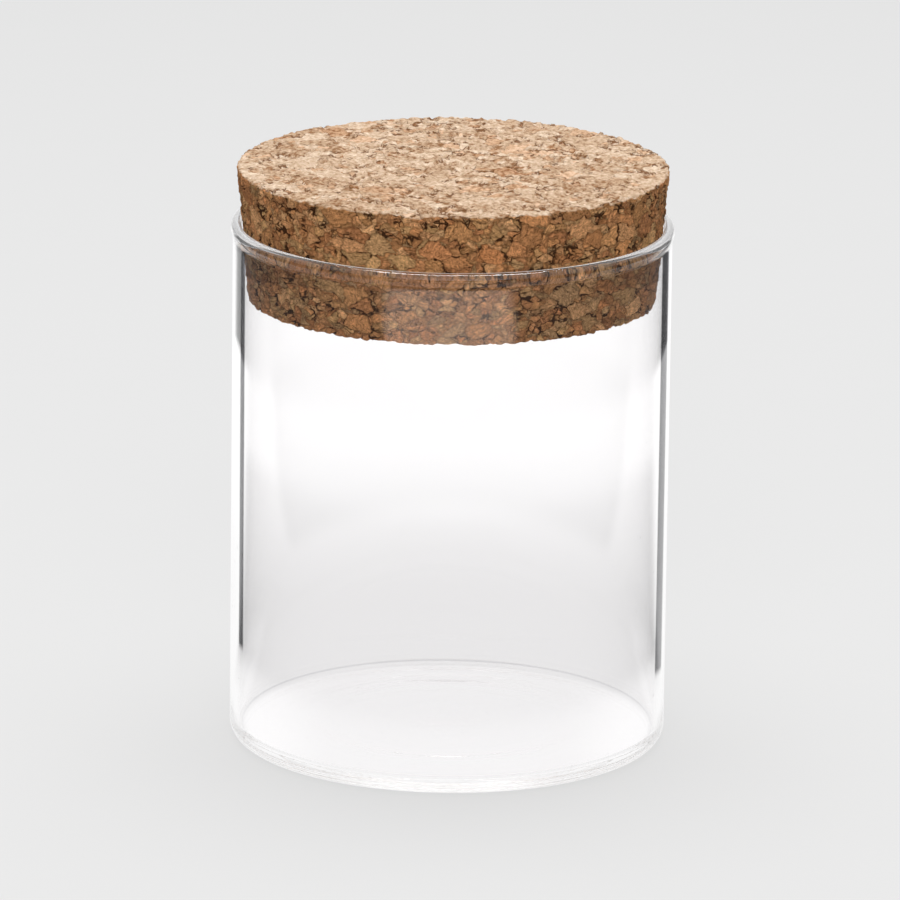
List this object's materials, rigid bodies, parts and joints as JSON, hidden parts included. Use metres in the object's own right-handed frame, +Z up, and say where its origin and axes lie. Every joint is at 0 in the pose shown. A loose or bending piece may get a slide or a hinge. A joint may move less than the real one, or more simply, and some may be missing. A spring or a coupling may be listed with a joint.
{
  "type": "glass jar with cork stopper",
  "caption": "Small straight-sided storage jar of clear drawn glass, with a rounded lip, a soft heel and a wide tapered stopper of agglomerated cork.",
  "frame": {"origin": "centre of the jar's foot, on the surface that it stands on", "axes": "+Z up along the jar's axis; +X and +Y are level and interchangeable, the shape being round"},
  "size_m": [0.0656, 0.0656, 0.0875],
  "materials": {
    "clear_glass": "clear, fire-polished, with faint forming ripples in the base",
    "agglomerated_cork": "matt, cut and sanded: bonded granules of 2 to 5 mm with dark cracks, paler on top"
  },
  "bodies": {
    "jar": {"glass_jar": "clear_glass"},
    "stopper": {"cork_stopper": "agglomerated_cork"}
  },
  "joints": [
    {"name": "stopper_lift", "type": "slide", "parent": "jar", "child": "stopper", "axis": [0, 0, 1], "range_m": [0, 0.07]}
  ]
}
